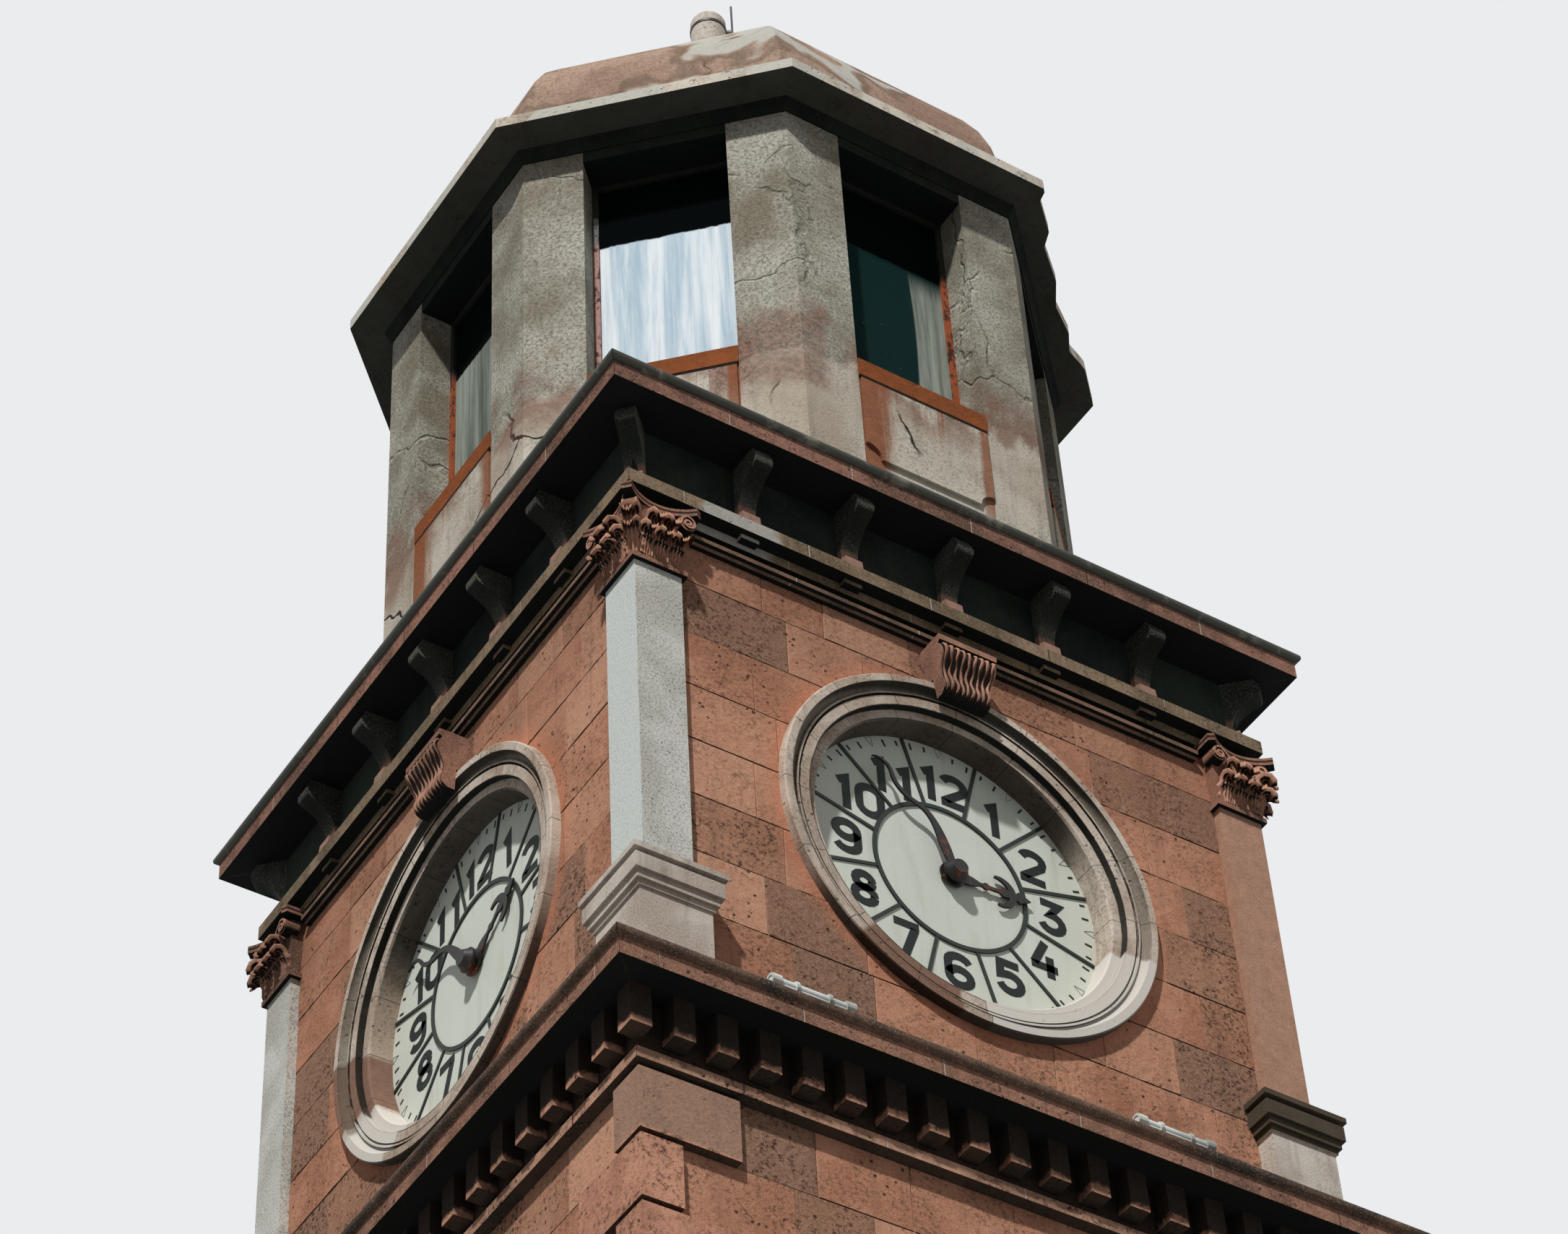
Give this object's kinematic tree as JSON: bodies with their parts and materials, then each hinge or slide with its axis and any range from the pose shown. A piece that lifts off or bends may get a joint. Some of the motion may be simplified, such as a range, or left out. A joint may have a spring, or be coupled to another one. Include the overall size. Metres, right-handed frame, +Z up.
{
  "type": "clock tower",
  "caption": "Tall square masonry clock tower with dials and turning hands on each side, bracketed cornice, eight-sided glazed lantern and ribless dome with a finial.",
  "frame": {"origin": "on the ground at the middle of the square plan", "axes": "+Z up, -Y out of the front face with the door, +X to the right of it"},
  "size_m": [5.784, 5.784, 28.9],
  "materials": {
    "shaft_stone": "weathered blocks",
    "plinth_stone": "weathered",
    "door_stone": "weathered",
    "door_wood": "worn paint",
    "quoin_stone": "weathered",
    "lower_course_stone": "weathered",
    "dentil_stone": "weathered",
    "lower_cornice_stone": "pitted",
    "flashing_metal": "dull",
    "clock_wall_stone": "weathered blocks",
    "base_stone": "weathered",
    "pilaster_stone": "weathered",
    "terracotta": "matt",
    "ring_stone": "weathered",
    "keystone_terracotta": "matt",
    "dial_face": "worn marble",
    "arbor_iron": "dull",
    "hand_iron": "rusted paint",
    "head_moulding_stone": "weathered",
    "architrave_stone": "weathered",
    "frieze_stone": "stained",
    "bracket_stone": "weathered",
    "main_cornice_stone": "pitted",
    "lantern_floor_stone": "plain",
    "lantern_render": "rough render",
    "spandrel_render": "cracked render",
    "head_render": "rough render",
    "frame_iron": "rusted paint",
    "window_glass": "dusty",
    "soffit_render": "stained",
    "eave_render": "worn",
    "dome_render": "cracked render",
    "finial_plaster": "plain",
    "rod_iron": "rusted",
    "light_plastic": "plain"
  },
  "bodies": {
    "tower": {"shaft_front_wall": "shaft_stone", "shaft_right_wall": "shaft_stone", "shaft_back_wall": "shaft_stone", "shaft_left_wall": "shaft_stone", "plinth": "plinth_stone", "door_surround": "door_stone", "door_leaf": "door_wood", "corner_quoins": "quoin_stone", "lower_string_course": "lower_course_stone", "dentil_course": "dentil_stone", "lower_cornice": "lower_cornice_stone", "lower_flashing": "flashing_metal", "main_flashing": "flashing_metal", "clock_front_wall": "clock_wall_stone", "clock_right_wall": "clock_wall_stone", "clock_back_wall": "clock_wall_stone", "clock_left_wall": "clock_wall_stone", "pilaster_bases": "base_stone", "corner_pilasters": "pilaster_stone", "corner_capitals": "terracotta", "dial_surrounds": "ring_stone", "keystone_consoles": "keystone_terracotta", "dial_plates": "dial_face", "dial_arbors": "arbor_iron", "head_moulding": "head_moulding_stone", "architrave": "architrave_stone", "frieze": "frieze_stone", "cornice_brackets": "bracket_stone", "main_cornice": "main_cornice_stone", "lantern_floor": "lantern_floor_stone", "lantern_piers": "lantern_render", "lantern_spandrels": "spandrel_render", "window_heads": "head_render", "window_frames": "frame_iron", "window_glass": "window_glass", "soffit_moulding": "soffit_render", "eave_slab": "eave_render", "dome_shell": "dome_render", "finial": "finial_plaster", "lightning_rod": "rod_iron", "ledge_lights": "light_plastic"},
    "minute_hand_front": {"minute_hand_front": "hand_iron"},
    "hour_hand_front": {"hour_hand_front": "hand_iron"},
    "minute_hand_right": {"minute_hand_right": "hand_iron"},
    "hour_hand_right": {"hour_hand_right": "hand_iron"},
    "minute_hand_back": {"minute_hand_back": "hand_iron"},
    "hour_hand_back": {"hour_hand_back": "hand_iron"},
    "minute_hand_left": {"minute_hand_left": "hand_iron"},
    "hour_hand_left": {"hour_hand_left": "hand_iron"}
  },
  "joints": [
    {"name": "minute_hand_front_turn", "type": "hinge", "parent": "tower", "child": "minute_hand_front", "pos_m": [0, -2.2, 17.358], "axis": [0, -1, 0], "continuous": true},
    {"name": "hour_hand_front_turn", "type": "hinge", "parent": "tower", "child": "hour_hand_front", "pos_m": [0, -2.2, 17.358], "axis": [0, -1, 0], "continuous": true},
    {"name": "minute_hand_right_turn", "type": "hinge", "parent": "tower", "child": "minute_hand_right", "pos_m": [2.2, 0, 17.358], "axis": [1, 0, 0], "continuous": true},
    {"name": "hour_hand_right_turn", "type": "hinge", "parent": "tower", "child": "hour_hand_right", "pos_m": [2.2, 0, 17.358], "axis": [1, 0, 0], "continuous": true},
    {"name": "minute_hand_back_turn", "type": "hinge", "parent": "tower", "child": "minute_hand_back", "pos_m": [0, 2.2, 17.358], "axis": [0, 1, 0], "continuous": true},
    {"name": "hour_hand_back_turn", "type": "hinge", "parent": "tower", "child": "hour_hand_back", "pos_m": [0, 2.2, 17.358], "axis": [0, 1, 0], "continuous": true},
    {"name": "minute_hand_left_turn", "type": "hinge", "parent": "tower", "child": "minute_hand_left", "pos_m": [-2.2, 0, 17.358], "axis": [-1, 0, 0], "continuous": true},
    {"name": "hour_hand_left_turn", "type": "hinge", "parent": "tower", "child": "hour_hand_left", "pos_m": [-2.2, 0, 17.358], "axis": [-1, 0, 0], "continuous": true}
  ],
  "couplings": [
    {"joint": "hour_hand_front_turn", "follows": "minute_hand_front_turn", "ratio": 0.083333},
    {"joint": "hour_hand_right_turn", "follows": "minute_hand_right_turn", "ratio": 0.083333},
    {"joint": "hour_hand_back_turn", "follows": "minute_hand_back_turn", "ratio": 0.083333},
    {"joint": "hour_hand_left_turn", "follows": "minute_hand_left_turn", "ratio": 0.083333}
  ]
}
